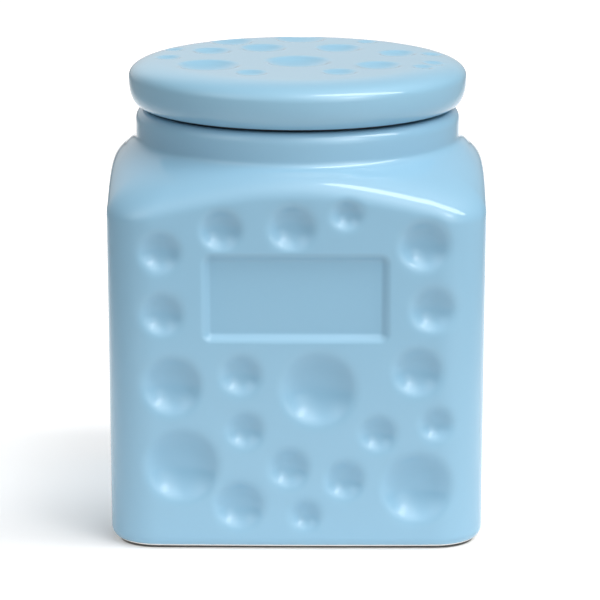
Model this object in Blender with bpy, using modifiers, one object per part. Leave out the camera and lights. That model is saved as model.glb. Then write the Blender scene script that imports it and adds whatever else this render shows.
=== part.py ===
"""Square ceramic storage jar with a round neck, a lift-off lid and the lid's seal ring.

Units are metres and +Z is up. The origin is the middle of the base, on the surface that
the jar stands on, and the front, with the label recess, faces -Y.
"""
import math

import bmesh
import bpy
from mathutils import Matrix, Vector

# Fit between pieces that touch
FIT_GAP = 0.0003

# Jar body
BODY_WIDTH = 0.1457
WALL_DRAFT = 0.0008
FACE_CROWN = 0.0006
CORNER_RADIUS = 0.0190
SKIN_UNDER_DIMPLES = 0.0021
FLOOR_THICKNESS = 0.0075
INNER_FLOOR_RADIUS = 0.0080
FOOT_EDGE_RADIUS = 0.0046
FOOT_LIP_HEIGHT = 0.00065
FOOT_RING_INSET = 0.0070
FOOT_RING_WIDTH = 0.0055
FOOT_RECESS = 0.0016
SHOULDER_TOP = 0.1488
SHOULDER_SLOPE = math.radians(27.8)
SHOULDER_BLEND = 0.0118
BLEND_GROWTH_SHARE = 2.5
NECK_INSET = 0.00895
NECK_HEIGHT = 0.0127
NECK_FILLET = 0.0031
RIM_WIDTH = 0.0069
RIM_ROUNDING = 0.0046
RIM_INNER_ROUNDING = 0.0012

# Label recess in the front face
LABEL_WIDTH = 0.0706
LABEL_HEIGHT = 0.0336
LABEL_DEPTH = 0.0020
LABEL_CORNER = 0.0026
LABEL_FLOOR_ROUNDING = 0.0019
LABEL_HEIGHT_SHARE = 0.670

# Dimples. Places are shares of the face's half width and of the shoulder's height, or of
# the lid's radius. Sizes are shares of the largest dimple's radius there.
DIMPLE_RADIUS = 0.0177
DIMPLE_DEPTH_SHARE = 0.345
DEEPEST_DIMPLE = 0.0057
DIMPLE_ROLL_WIDTH = 0.0041
DIMPLE_ROLL_SHARE = 0.05
LID_DIMPLE_RADIUS = 0.0137
LID_DIMPLE_DEPTH_SHARE = 0.157
LID_DIMPLE_ROLL_SHARE = 0.35
DIMPLE_BOWL_POWER = 2.2
DIMPLE_CUT_SHARE = 0.95
DIMPLE_REACH_SHARE = 0.80
LARGE_DIMPLE_RING_SHARES = (0.42, 0.72)
SMALL_DIMPLE_RING_SHARES = (0.60,)
SMALL_DIMPLE_RADIUS = 0.0135
DIMPLE_FACET = 0.0065
DIMPLE_FEWEST_FACETS = 10
FRONT_DIMPLE_SHARES = (
    (-0.710, 0.789, 0.629), (-0.390, 0.848, 0.634), (-0.020, 0.854, 0.685),
    (0.266, 0.888, 0.512), (0.670, 0.807, 0.736), (-0.702, 0.627, 0.641),
    (0.718, 0.640, 0.677), (-0.651, 0.439, 0.829), (-0.289, 0.468, 0.620),
    (0.118, 0.431, 1.000), (0.638, 0.477, 0.714), (-0.268, 0.322, 0.580),
    (0.431, 0.313, 0.573), (0.741, 0.337, 0.550), (-0.601, 0.226, 0.997),
    (-0.037, 0.221, 0.621), (0.256, 0.189, 0.607), (0.641, 0.168, 0.972),
    (-0.298, 0.121, 0.719), (0.051, 0.095, 0.519),
)
PLAIN_FACE_DIMPLE_SHARES = (
    (-0.52, 0.785, 0.67), (-0.19, 0.840, 0.72), (0.12, 0.867, 0.54), (0.45, 0.806, 0.76),
    (-0.30, 0.672, 0.59), (0.06, 0.685, 0.81), (-0.59, 0.645, 0.56), (0.41, 0.638, 0.59),
    (-0.42, 0.497, 0.84), (-0.07, 0.524, 0.62), (0.31, 0.470, 0.94), (0.61, 0.565, 0.50),
    (-0.55, 0.316, 0.59), (-0.23, 0.336, 0.67), (0.08, 0.296, 0.56), (0.56, 0.316, 0.62),
    (-0.42, 0.161, 0.81), (-0.05, 0.148, 0.62), (0.31, 0.175, 0.84), (0.61, 0.155, 0.51),
)
LID_DIMPLE_SHARES = (
    (0.005, -0.119, 1.00), (-0.517, -0.256, 0.95), (0.475, -0.256, 0.69),
    (-0.209, 0.379, 0.71), (0.243, 0.375, 0.71), (0.012, 0.749, 0.80),
    (-0.406, 0.628, 0.68), (-0.515, 0.266, 0.59), (0.592, 0.183, 0.58),
    (-0.261, -0.526, 0.49), (0.248, -0.497, 0.53), (0.417, 0.621, 0.32),
    (-0.766, 0.023, 0.39), (-0.744, 0.330, 0.32), (0.735, -0.303, 0.31),
    (0.801, 0.160, 0.32), (0.801, -0.159, 0.31),
)

# Lid
LID_OVERHANG = 0.0027
LID_FOOT_INSET = 0.0027
LID_HEIGHT = 0.0177
LID_WIDEST_SHARE = 0.61
LID_TOP_ROUNDING = 0.0166
LID_EDGE_POWER = 2.33
LID_GAP = 0.0011
LID_SKIN_UNDER_DIMPLES = 0.0045
PLUG_WALL = 0.0055
PLUG_BEAD_HEIGHT = 0.0030
PLUG_BEAD_REACH = 0.0017
EDGE_ROUNDING = 0.0006

# Seal ring on the lid's plug
SEAL_FLANGE = 0.0012
SEAL_FLANGE_INSET = 0.0040
SEAL_SLEEVE = 0.0019
SEAL_LENGTH = 0.0110
SEAL_LIP_THICKNESS = 0.0011
SEAL_LIP_REACH = 0.0019
SEAL_LIPS = 2

# How finely curves are cut into facets
FLAT_COLUMNS = 4
CORNER_COLUMNS = 8
COLUMNS = 4 * (FLAT_COLUMNS + CORNER_COLUMNS)
ARC_STEPS = 3
RIM_INNER_STEPS = 2
LABEL_CORNER_STEPS = 3
LABEL_FLOOR_STEPS = 2
SEAT_SEARCH_STEPS = 6
LID_EDGE_STEPS = 6
SHOULDER_STEPS = 9
INNER_SHOULDER_STEPS = 5

# How far cutters run past what they cut
OVERRUN = 0.0040

# Sizes that follow
TAU = 2.0 * math.pi
HALF_WIDTH = BODY_WIDTH / 2.0
WALL = SKIN_UNDER_DIMPLES + DEEPEST_DIMPLE
FLOOR_HEIGHT = FOOT_RECESS + FLOOR_THICKNESS
RIM_HEIGHT = SHOULDER_TOP + NECK_HEIGHT
NECK_RADIUS = HALF_WIDTH - NECK_INSET
MOUTH_RADIUS = NECK_RADIUS - RIM_WIDTH
BORE_FOOT = SHOULDER_TOP - WALL / math.cos(SHOULDER_SLOPE) + (
    NECK_RADIUS - MOUTH_RADIUS) * math.tan(SHOULDER_SLOPE)
SHOULDER_CORNER = SHOULDER_TOP - (
    (HALF_WIDTH - CORNER_RADIUS) * math.sqrt(2.0) + CORNER_RADIUS + SHOULDER_BLEND
    - NECK_RADIUS) * math.tan(SHOULDER_SLOPE)
LID_UNDERSIDE = RIM_HEIGHT + LID_GAP
LID_TOP = LID_UNDERSIDE + LID_HEIGHT
LID_WIDEST = LID_UNDERSIDE + LID_HEIGHT * LID_WIDEST_SHARE
LID_RADIUS = NECK_RADIUS + LID_OVERHANG
LID_FOOT_RADIUS = NECK_RADIUS - LID_FOOT_INSET
LID_FLAT_RADIUS = LID_RADIUS - LID_TOP_ROUNDING
SEAL_LIP_RADIUS = MOUTH_RADIUS - FIT_GAP
SEAL_OUTER = SEAL_LIP_RADIUS - SEAL_LIP_REACH
SEAL_INNER = SEAL_OUTER - SEAL_SLEEVE
SEAL_FLANGE_RADIUS = NECK_RADIUS - SEAL_FLANGE_INSET
SEAL_BOTTOM = RIM_HEIGHT + FIT_GAP - SEAL_LENGTH
SEAL_TOP = RIM_HEIGHT + FIT_GAP + SEAL_FLANGE
SEAL_SEAT = SEAL_TOP + FIT_GAP
PLUG_RADIUS = SEAL_INNER - FIT_GAP
PLUG_BOTTOM = SEAL_BOTTOM - FIT_GAP - PLUG_BEAD_HEIGHT
LID_HOLLOW_RADIUS = PLUG_RADIUS - PLUG_WALL
LID_CEILING = LID_TOP - LID_DIMPLE_RADIUS * LID_DIMPLE_DEPTH_SHARE - LID_SKIN_UNDER_DIMPLES


def start_empty_scene():
    """Removes what the scene holds, and gives the collections for parts and cutters."""
    for item in list(bpy.data.objects):
        bpy.data.objects.remove(item, do_unlink=True)
    made = []
    for name in ("storage_jar", "cutters"):
        collection = bpy.data.collections.new(name)
        bpy.context.scene.collection.children.link(collection)
        made.append(collection)
    return made


def make_material(name, colour, roughness):
    material = bpy.data.materials.new(name)
    material.use_nodes = True
    shader = material.node_tree.nodes["Principled BSDF"]
    shader.inputs["Base Color"].default_value = (*colour, 1.0)
    shader.inputs["Roughness"].default_value = roughness
    material.diffuse_color = (*colour, 1.0)
    return material


def add_object(name, mesh, collection, material=None):
    item = bpy.data.objects.new(name, mesh)
    collection.objects.link(item)
    if material is not None:
        mesh.materials.append(material)
    return item


def mark_as_cutter(item):
    item.hide_render = True
    item.display_type = "WIRE"


def quarter_curve(start, end, steps, start_upright, power=2.0):
    """Points after start, up to end, on a quarter of an ellipse or superellipse.

    With start_upright the curve leaves start along its second coordinate.
    """
    points = []
    for step in range(1, steps + 1):
        turn = 0.5 * math.pi * step / steps
        slow = 1.0 - math.cos(turn) ** (2.0 / power)
        fast = math.sin(turn) ** (2.0 / power)
        across, up = (slow, fast) if start_upright else (fast, slow)
        points.append((start[0] + (end[0] - start[0]) * across,
                       start[1] + (end[1] - start[1]) * up))
    return points


def turned(name, profile, steps, collection, material=None, closed=False):
    """A solid turned about its own Z from a profile of (radius, height) points."""
    mesh = bpy.data.meshes.new(name)
    count = len(profile)
    edges = [(i, i + 1) for i in range(count - 1)]
    if closed:
        edges.append((count - 1, 0))
    mesh.from_pydata([(radius, 0.0, height) for radius, height in profile], edges, [])
    item = add_object(name, mesh, collection, material)
    screw = item.modifiers.new("turn", "SCREW")
    screw.axis = "Z"
    screw.angle = TAU
    screw.steps = steps
    screw.render_steps = steps
    screw.use_merge_vertices = True
    screw.merge_threshold = 0.00001
    screw.use_smooth_shade = True
    return item


def square_radius(angle, half_width, corner):
    """Distance from the axis to a rounded square with slightly crowned sides."""
    off_face = abs((angle + math.pi / 4.0) % (math.pi / 2.0) - math.pi / 4.0)
    flat = half_width - corner
    along = half_width * math.tan(off_face)
    if along <= flat:
        crown = FACE_CROWN * (1.0 - (along / flat) ** 2)
        return half_width / math.cos(off_face) + crown
    middle = flat * (math.cos(off_face) + math.sin(off_face))
    return middle + math.sqrt(middle * middle - 2.0 * flat * flat + corner * corner)


def soft_min(a, b, blend):
    """The smaller of two radii, rounded where they are within blend of each other."""
    if blend <= 0.0:
        return min(a, b)
    near = max(blend - abs(a - b), 0.0) / blend
    return min(a, b) - near * near * blend / 4.0


def soft_max(a, b, blend):
    """The larger of two radii, rounded where they are within blend of each other."""
    near = max(blend - abs(a - b), 0.0) / blend
    return max(a, b) + near * near * blend / 4.0


def skin_radius(angle, height, inset=0.0, wall=0.0):
    """Distance from the axis to the body's outer skin, or to its inner one.

    The section is a rounded square, capped by the slope of the shoulder and the round neck.
    """
    draft = WALL_DRAFT * max(0.0, 1.0 - height / SHOULDER_TOP)
    inward = inset + wall
    corner = max(CORNER_RADIUS - inward, FIT_GAP)
    square = square_radius(angle, HALF_WIDTH - draft - inward, corner)
    neck, foot = (MOUTH_RADIUS, BORE_FOOT) if wall else (NECK_RADIUS, SHOULDER_TOP)
    slope = neck + (foot - height) / math.tan(SHOULDER_SLOPE)
    cap = soft_max(slope, neck, NECK_FILLET)
    return soft_min(square, cap, min(SHOULDER_BLEND, BLEND_GROWTH_SHARE * (cap - neck)))


def column_angle(column, turn_share):
    """Angle of a column of the loft: square spacing at 0, even spacing at 1."""
    per_face = FLAT_COLUMNS + CORNER_COLUMNS
    face, place = divmod(column + per_face // 2, per_face)
    offset = place - per_face // 2
    flat = HALF_WIDTH - CORNER_RADIUS
    half_flat = FLAT_COLUMNS // 2
    if abs(offset) <= half_flat:
        x, y = flat * offset / half_flat, HALF_WIDTH
    else:
        bend = 0.5 * math.pi * (abs(offset) - half_flat) / CORNER_COLUMNS
        x = math.copysign(flat + CORNER_RADIUS * math.sin(bend), offset)
        y = flat + CORNER_RADIUS * math.cos(bend)
    square_spacing = math.atan2(x, y)
    even_spacing = 0.5 * math.pi * offset / per_face
    off_face = square_spacing + (even_spacing - square_spacing) * turn_share
    return 0.5 * math.pi * face + off_face


def ring_points(height, inset=0.0, wall=0.0, round_radius=None):
    """One ring of the body's loft, on its skin or, with round_radius, a plain circle."""
    share = (height - SHOULDER_CORNER) / (BORE_FOOT - SHOULDER_CORNER)
    share = min(max(share, 0.0), 1.0)
    turn_share = share * share * (3.0 - 2.0 * share)
    points = []
    for column in range(COLUMNS):
        angle = column_angle(column, turn_share)
        radius = round_radius or skin_radius(angle, height, inset, wall)
        points.append(Vector((radius * math.cos(angle), radius * math.sin(angle), height)))
    return points


def body_rings():
    """All rings of the body, from its base up outside, over the rim and down inside."""
    ring_inner = FOOT_RING_INSET + FOOT_RING_WIDTH
    rings = [ring_points(FOOT_RECESS, ring_inner + FOOT_RECESS)]
    rings.append(ring_points(0.0, ring_inner))
    rings.append(ring_points(0.0, FOOT_RING_INSET))
    rings.append(ring_points(FOOT_LIP_HEIGHT, FOOT_RING_INSET))
    lip = (FOOT_EDGE_RADIUS, FOOT_LIP_HEIGHT)
    rings.append(ring_points(FOOT_LIP_HEIGHT, FOOT_EDGE_RADIUS))
    edge = quarter_curve(lip, (0.0, FOOT_LIP_HEIGHT + FOOT_EDGE_RADIUS), ARC_STEPS, False)
    rings += [ring_points(height, inset) for inset, height in edge]
    fillet_rise = NECK_FILLET * math.tan(SHOULDER_SLOPE)
    shoulder_rise = SHOULDER_TOP - fillet_rise - SHOULDER_CORNER
    for step in range(SHOULDER_STEPS + 1):
        rings.append(ring_points(SHOULDER_CORNER + shoulder_rise * step / SHOULDER_STEPS))
    rings.append(ring_points(SHOULDER_TOP))
    rings.append(ring_points(SHOULDER_TOP + fillet_rise))
    rim_outer = (NECK_RADIUS, RIM_HEIGHT - RIM_ROUNDING)
    rim_inner = (MOUTH_RADIUS + RIM_INNER_ROUNDING, RIM_HEIGHT)
    neck = [rim_outer]
    neck += quarter_curve(rim_outer, (NECK_RADIUS - RIM_ROUNDING, RIM_HEIGHT), ARC_STEPS, True)
    neck.append(rim_inner)
    neck += quarter_curve(rim_inner, (MOUTH_RADIUS, RIM_HEIGHT - RIM_INNER_ROUNDING),
                          RIM_INNER_STEPS, False)
    rings += [ring_points(height, round_radius=radius) for radius, height in neck]
    inner_top = BORE_FOOT + fillet_rise
    inner_drop = inner_top - (SHOULDER_CORNER - WALL)
    for step in range(INNER_SHOULDER_STEPS + 1):
        height = inner_top - inner_drop * step / INNER_SHOULDER_STEPS
        rings.append(ring_points(height, wall=WALL))
    floor_edge = quarter_curve((0.0, FLOOR_HEIGHT + INNER_FLOOR_RADIUS),
                               (INNER_FLOOR_RADIUS, FLOOR_HEIGHT), ARC_STEPS, True)
    rings.append(ring_points(FLOOR_HEIGHT + INNER_FLOOR_RADIUS, wall=WALL))
    rings += [ring_points(height, inset, WALL) for inset, height in floor_edge]
    return rings


def loft(name, rings, collection, material):
    """A closed solid through rings of points, with flat ends."""
    work = bmesh.new()
    rows = [[work.verts.new(point) for point in ring] for ring in rings]
    for lower, upper in zip(rows, rows[1:]):
        for column in range(COLUMNS):
            beside = (column + 1) % COLUMNS
            work.faces.new((lower[column], lower[beside], upper[beside], upper[column]))
    work.faces.new(list(reversed(rows[0])))
    work.faces.new(rows[-1])
    bmesh.ops.triangulate(work, faces=[face for face in work.faces if len(face.verts) > 4])
    mesh = bpy.data.meshes.new(name)
    work.to_mesh(mesh)
    work.free()
    mesh.shade_smooth()
    return add_object(name, mesh, collection, material)


def dimple_height(share, roll_share):
    """Height of a dimple's surface, 0 at its rim and -1 at its middle, at a radius share."""
    bend = 1.0 - roll_share
    bowl = bend / DIMPLE_BOWL_POWER
    roll = roll_share / 2.0
    if share <= bend:
        return bowl / (bowl + roll) * (share / bend) ** DIMPLE_BOWL_POWER - 1.0
    return -roll / (bowl + roll) * ((1.0 - share) / roll_share) ** 2


def dimple_cutter(name, radius, depth, roll_share, place, outward, collection):
    """A turned cutter that leaves one dimple, with its axis along outward."""
    edge = radius * DIMPLE_CUT_SHARE
    edge_height = depth * dimple_height(DIMPLE_CUT_SHARE, roll_share)
    flare = edge + (edge - radius * DIMPLE_REACH_SHARE)
    profile = [(0.0, OVERRUN), (flare, OVERRUN)]
    profile.append((edge, edge_height))
    small = radius < SMALL_DIMPLE_RADIUS
    for share in reversed(SMALL_DIMPLE_RING_SHARES if small else LARGE_DIMPLE_RING_SHARES):
        profile.append((radius * share, depth * dimple_height(share, roll_share)))
    profile.append((0.0, -depth))
    steps = max(DIMPLE_FEWEST_FACETS, round(TAU * radius / DIMPLE_FACET))
    cutter = turned(name, profile, steps, collection)
    turn = Vector((0.0, 0.0, 1.0)).rotation_difference(outward).to_matrix().to_4x4()
    cutter.matrix_world = Matrix.Translation(place) @ turn
    mark_as_cutter(cutter)
    return cutter


def face_point(across, height, face):
    """A point on one face of the body: face 0 looks along -Y, 1 along +X, and so on."""
    off_face = math.atan2(across, HALF_WIDTH)
    middle = -0.5 * math.pi + 0.5 * math.pi * face
    for _ in range(SEAT_SEARCH_STEPS):
        radius = skin_radius(middle + off_face, height)
        off_face = math.asin(across / radius)
    angle = middle + off_face
    return Vector((radius * math.cos(angle), radius * math.sin(angle), height))


def face_seat(across, height, reach, face):
    """Where a dimple's rim plane meets its axis, and the way out of the face there."""
    left = face_point(across - reach, height, face)
    right = face_point(across + reach, height, face)
    low = face_point(across, height - reach, face)
    high = face_point(across, height + reach, face)
    outward = (right - left).cross(high - low).normalized()
    return (left + right + low + high) / 4.0, outward


def make_body(parts, cutters, material):
    body = loft("jar_body", body_rings(), parts, material)
    dimples = bpy.data.collections.new("body_dimples")
    cutters.children.link(dimples)
    for face in range(4):
        shares = PLAIN_FACE_DIMPLE_SHARES if face else FRONT_DIMPLE_SHARES
        mirror = -1.0 if face == 2 else 1.0
        for number, (across_share, height_share, size_share) in enumerate(shares, 1):
            radius = DIMPLE_RADIUS * size_share
            across = mirror * HALF_WIDTH * across_share
            reach = radius * DIMPLE_REACH_SHARE
            place, outward = face_seat(across, SHOULDER_TOP * height_share, reach, face)
            depth = min(radius * DIMPLE_DEPTH_SHARE, DEEPEST_DIMPLE)
            roll_share = DIMPLE_ROLL_WIDTH / radius + DIMPLE_ROLL_SHARE
            dimple_cutter(f"dimple_{face}_{number}", radius, depth, roll_share, place,
                          outward, dimples)
    cut = body.modifiers.new("dimples", "BOOLEAN")
    cut.operation = "DIFFERENCE"
    cut.solver = "EXACT"
    cut.operand_type = "COLLECTION"
    cut.collection = dimples
    label = body.modifiers.new("label", "BOOLEAN")
    label.operation = "DIFFERENCE"
    label.solver = "EXACT"
    label.object = label_cutter(cutters)
    return body


def label_cutter(cutters):
    """A block with rounded corners and sloping sides that leaves the label recess."""
    height = SHOULDER_TOP * LABEL_HEIGHT_SHARE
    work = bmesh.new()
    bmesh.ops.create_cube(work, size=1.0)
    block_depth = LABEL_DEPTH + OVERRUN
    bmesh.ops.scale(work, vec=(LABEL_WIDTH, block_depth, LABEL_HEIGHT), verts=work.verts)
    upright = [edge for edge in work.edges
               if abs((edge.verts[0].co - edge.verts[1].co).y) > block_depth / 2.0]
    bmesh.ops.bevel(work, geom=upright, offset=LABEL_CORNER, segments=LABEL_CORNER_STEPS,
                    affect="EDGES", profile=0.5)
    floor = [edge for edge in work.edges
             if min(vert.co.y for vert in edge.verts) > 0.0]
    bmesh.ops.bevel(work, geom=floor, offset=LABEL_FLOOR_ROUNDING, segments=LABEL_FLOOR_STEPS,
                    affect="EDGES", profile=0.5)
    mesh = bpy.data.meshes.new("label_recess")
    work.to_mesh(mesh)
    work.free()
    cutter = add_object("label_recess", mesh, cutters)
    front = face_point(0.0, height, 0)
    cutter.location = front + Vector((0.0, LABEL_DEPTH - block_depth / 2.0, 0.0))
    mark_as_cutter(cutter)
    return cutter


def lid_profile():
    """The lid's section, from the middle of its top down its outside and in underneath."""
    profile = [(0.0, LID_TOP), (LID_FLAT_RADIUS, LID_TOP)]
    profile += quarter_curve((LID_FLAT_RADIUS, LID_TOP), (LID_RADIUS, LID_WIDEST),
                             LID_EDGE_STEPS, False, LID_EDGE_POWER)
    foot = (LID_FOOT_RADIUS, LID_UNDERSIDE)
    profile += quarter_curve((LID_RADIUS, LID_WIDEST), foot, LID_EDGE_STEPS - 1, True,
                             LID_EDGE_POWER)
    seat_radius = SEAL_FLANGE_RADIUS + FIT_GAP
    profile += [(seat_radius, LID_UNDERSIDE), (seat_radius, SEAL_SEAT)]
    bead = PLUG_RADIUS + PLUG_BEAD_REACH
    profile += [(PLUG_RADIUS, SEAL_SEAT), (PLUG_RADIUS, SEAL_BOTTOM - FIT_GAP)]
    profile += [(bead, SEAL_BOTTOM - FIT_GAP), (bead, PLUG_BOTTOM + EDGE_ROUNDING)]
    profile += [(bead - EDGE_ROUNDING, PLUG_BOTTOM)]
    profile += [(LID_HOLLOW_RADIUS + EDGE_ROUNDING, PLUG_BOTTOM)]
    profile += [(LID_HOLLOW_RADIUS, PLUG_BOTTOM + EDGE_ROUNDING)]
    hollow_edge = (LID_HOLLOW_RADIUS, LID_CEILING - PLUG_WALL)
    profile.append(hollow_edge)
    profile += quarter_curve(hollow_edge, (LID_HOLLOW_RADIUS - PLUG_WALL, LID_CEILING),
                             ARC_STEPS, True)
    profile.append((0.0, LID_CEILING))
    return profile


def lid_top_height(radius):
    """Height of the lid's outer skin above its widest ring, at a distance from the axis."""
    share = max(0.0, radius - LID_FLAT_RADIUS) / LID_TOP_ROUNDING
    rise = (1.0 - min(share, 1.0) ** LID_EDGE_POWER) ** (1.0 / LID_EDGE_POWER)
    return LID_WIDEST + (LID_TOP - LID_WIDEST) * rise


def lid_seat(x, y, reach):
    """Where a dimple sits on the lid, and the way out of the lid there."""
    radius = math.hypot(x, y)
    inner = lid_top_height(radius - reach)
    outer = lid_top_height(radius + reach)
    fall = (inner - outer) / (2.0 * reach)
    outward = Vector((fall * x / radius, fall * y / radius, 1.0)).normalized()
    return Vector((x, y, (inner + outer) / 2.0)), outward


def make_lid(parts, cutters, material):
    lid = turned("lid", lid_profile(), COLUMNS, parts, material)
    dimples = bpy.data.collections.new("lid_dimples")
    cutters.children.link(dimples)
    for number, (x_share, y_share, size_share) in enumerate(LID_DIMPLE_SHARES, 1):
        radius = LID_DIMPLE_RADIUS * size_share
        place, outward = lid_seat(LID_RADIUS * x_share, LID_RADIUS * y_share,
                                  radius * DIMPLE_REACH_SHARE)
        depth = radius * LID_DIMPLE_DEPTH_SHARE
        dimple_cutter(f"lid_dimple_{number}", radius, depth, LID_DIMPLE_ROLL_SHARE, place,
                      outward, dimples)
    cut = lid.modifiers.new("dimples", "BOOLEAN")
    cut.operation = "DIFFERENCE"
    cut.solver = "EXACT"
    cut.operand_type = "COLLECTION"
    cut.collection = dimples
    return lid


def make_seal(parts, material):
    """The soft ring: a flange between lid and rim, and a lipped sleeve on the plug."""
    flange_bottom = SEAL_TOP - SEAL_FLANGE
    profile = [(SEAL_INNER, SEAL_TOP), (SEAL_FLANGE_RADIUS, SEAL_TOP)]
    profile += [(SEAL_FLANGE_RADIUS, flange_bottom), (SEAL_OUTER, flange_bottom)]
    pitch = SEAL_LENGTH / (SEAL_LIPS + 1)
    for lip in range(1, SEAL_LIPS + 1):
        tip = flange_bottom - pitch * lip
        profile += [(SEAL_OUTER, tip - SEAL_LIP_THICKNESS), (SEAL_LIP_RADIUS, tip),
                    (SEAL_OUTER, tip - 2.0 * SEAL_LIP_THICKNESS)]
    profile += [(SEAL_OUTER, SEAL_BOTTOM), (SEAL_INNER, SEAL_BOTTOM)]
    return turned("lid_seal", profile, COLUMNS, parts, material, closed=True)


def main():
    parts, cutters = start_empty_scene()
    glaze = make_material("blue_glaze", (0.31, 0.55, 0.72), 0.10)
    lid_glaze = make_material("blue_glaze_lid", (0.31, 0.55, 0.72), 0.10)
    rubber = make_material("seal_silicone", (0.028, 0.029, 0.031), 0.55)
    make_body(parts, cutters, glaze)
    make_lid(parts, cutters, lid_glaze)
    make_seal(parts, rubber)


main()
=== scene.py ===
# %% [markdown]
# # A square ceramic jar with pressed dimples
#
# The jar is one hollow piece of glazed ceramic with a square body and a short round neck. A
# thick round lid stands on the neck, and a soft ring on the lid's plug seals the mouth.
# The measured CAD model is loaded first, as a fixed frame. Every piece below is made in
# the same metres and stands exactly where its CAD node stands.

# %% Load the measured model
import math

import bpy
import numpy as np
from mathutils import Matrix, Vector


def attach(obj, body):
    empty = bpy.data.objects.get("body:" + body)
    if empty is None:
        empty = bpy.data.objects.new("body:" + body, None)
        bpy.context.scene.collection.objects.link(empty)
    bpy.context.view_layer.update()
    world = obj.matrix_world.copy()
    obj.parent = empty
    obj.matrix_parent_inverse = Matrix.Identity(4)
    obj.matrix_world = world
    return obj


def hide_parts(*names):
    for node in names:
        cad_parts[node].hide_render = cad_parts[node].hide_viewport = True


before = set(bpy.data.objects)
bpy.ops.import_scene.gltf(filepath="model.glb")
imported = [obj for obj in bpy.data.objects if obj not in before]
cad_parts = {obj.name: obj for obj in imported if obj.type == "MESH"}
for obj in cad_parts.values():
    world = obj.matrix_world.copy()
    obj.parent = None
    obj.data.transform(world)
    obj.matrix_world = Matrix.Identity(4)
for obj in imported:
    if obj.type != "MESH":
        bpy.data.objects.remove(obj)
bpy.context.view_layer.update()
MM = 0.001

# %% [markdown]
# ## Formulas that become nodes
#
# The shape of this jar follows a rule, so Geometry Nodes work it out. A rule is easier to
# read as a formula than as a web of Math nodes. The small class below is a number in a
# node tree: each plus, times or power that it takes part in adds one Math node.

# %% A number that writes its own Math nodes
class Rule:
    """A number field of a node tree that can stand in a formula."""

    def __init__(self, tree, socket):
        self.tree = tree
        self.socket = socket

    def through(self, operation, *others):
        node = self.tree.nodes.new("ShaderNodeMath")
        node.operation = operation
        for socket, value in zip(node.inputs, (self, *others)):
            feed(self.tree, value, socket)
        return Rule(self.tree, node.outputs[0])

    def __add__(self, other):
        return self.through("ADD", other)

    def __sub__(self, other):
        return self.through("SUBTRACT", other)

    def __rsub__(self, other):
        return self.through("MULTIPLY_ADD", -1.0, other)

    def __mul__(self, other):
        return self.through("MULTIPLY", other)

    def __truediv__(self, other):
        return self.through("DIVIDE", other)

    def __pow__(self, other):
        return self.through("POWER", other)

    __radd__ = __add__
    __rmul__ = __mul__


def feed(tree, value, socket):
    """Links a rule or a socket into a socket, or writes a plain number there."""
    if isinstance(value, Rule):
        value = value.socket
    if isinstance(value, bpy.types.NodeSocket):
        tree.links.new(value, socket)
    else:
        socket.default_value = value


def least(a, b):
    return a.through("MINIMUM", b)


def most(a, b):
    return a.through("MAXIMUM", b)


def cosine(a):
    return a.through("COSINE")


def sine(a):
    return a.through("SINE")


def choose(test, if_true, if_false):
    """test is 0 or 1, and picks one of two numbers."""
    return if_false + test * (if_true - if_false)


def smooth_share(a):
    """A share kept from 0 to 1, with a soft start and end."""
    kept = least(most(a, 0.0), 1.0)
    return kept * kept * (3.0 - 2.0 * kept)


# %% [markdown]
# ## Trees with named sizes
#
# A Geometry Nodes tree is a small machine with labelled knobs. Each tree here gets its
# sizes as named inputs, so the same tree would make a wider jar or a deeper dimple. The
# modifier's inputs are set by the identifier of each socket before the first evaluation.

# %% Helpers for Geometry Nodes
SOCKET_KINDS = {float: "NodeSocketFloat", int: "NodeSocketInt"}


def start_tree(name, numbers):
    """A tree with geometry in and out, a material, a table of dimples and named numbers."""
    tree = bpy.data.node_groups.new(name, "GeometryNodeTree")
    add = tree.interface.new_socket
    add("Geometry", in_out="INPUT", socket_type="NodeSocketGeometry")
    add("Material", in_out="INPUT", socket_type="NodeSocketMaterial")
    add("Dimple table", in_out="INPUT", socket_type="NodeSocketObject")
    for label, value in numbers.items():
        socket = add(label, in_out="INPUT", socket_type=SOCKET_KINDS[type(value)])
        socket.default_value = value
    add("Geometry", in_out="OUTPUT", socket_type="NodeSocketGeometry")
    entry = tree.nodes.new("NodeGroupInput")
    sizes = {label: Rule(tree, entry.outputs[label]) for label in numbers}
    return tree, entry, sizes


def end_tree(tree, entry, geometry):
    """Ends a tree with plain geometry in the tree's material."""
    realize = tree.nodes.new("GeometryNodeRealizeInstances")
    paint = tree.nodes.new("GeometryNodeSetMaterial")
    exit_node = tree.nodes.new("NodeGroupOutput")
    tree.links.new(geometry, realize.inputs["Geometry"])
    tree.links.new(realize.outputs["Geometry"], paint.inputs["Geometry"])
    tree.links.new(entry.outputs["Material"], paint.inputs["Material"])
    tree.links.new(paint.outputs["Geometry"], exit_node.inputs["Geometry"])


def read_number(tree, name):
    node = tree.nodes.new("GeometryNodeInputNamedAttribute")
    node.data_type = "FLOAT"
    node.inputs["Name"].default_value = name
    return Rule(tree, node.outputs["Attribute"])


def read_vector(tree, name):
    node = tree.nodes.new("GeometryNodeInputNamedAttribute")
    node.data_type = "FLOAT_VECTOR"
    node.inputs["Name"].default_value = name
    return node.outputs["Attribute"]


def store(tree, geometry, name, value, kind="FLOAT"):
    """Keeps a field as an attribute of the geometry's points."""
    node = tree.nodes.new("GeometryNodeStoreNamedAttribute")
    node.data_type = kind
    node.inputs["Name"].default_value = name
    tree.links.new(geometry, node.inputs["Geometry"])
    feed(tree, value, node.inputs["Value"])
    return node.outputs["Geometry"]


def vector_math(tree, operation, *values, result="Vector"):
    node = tree.nodes.new("ShaderNodeVectorMath")
    node.operation = operation
    sockets = list(node.inputs[:3])
    if operation == "SCALE":
        sockets = [node.inputs[0], node.inputs["Scale"]]
    for socket, value in zip(sockets, values):
        feed(tree, value, socket)
    return node.outputs[result]


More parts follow.
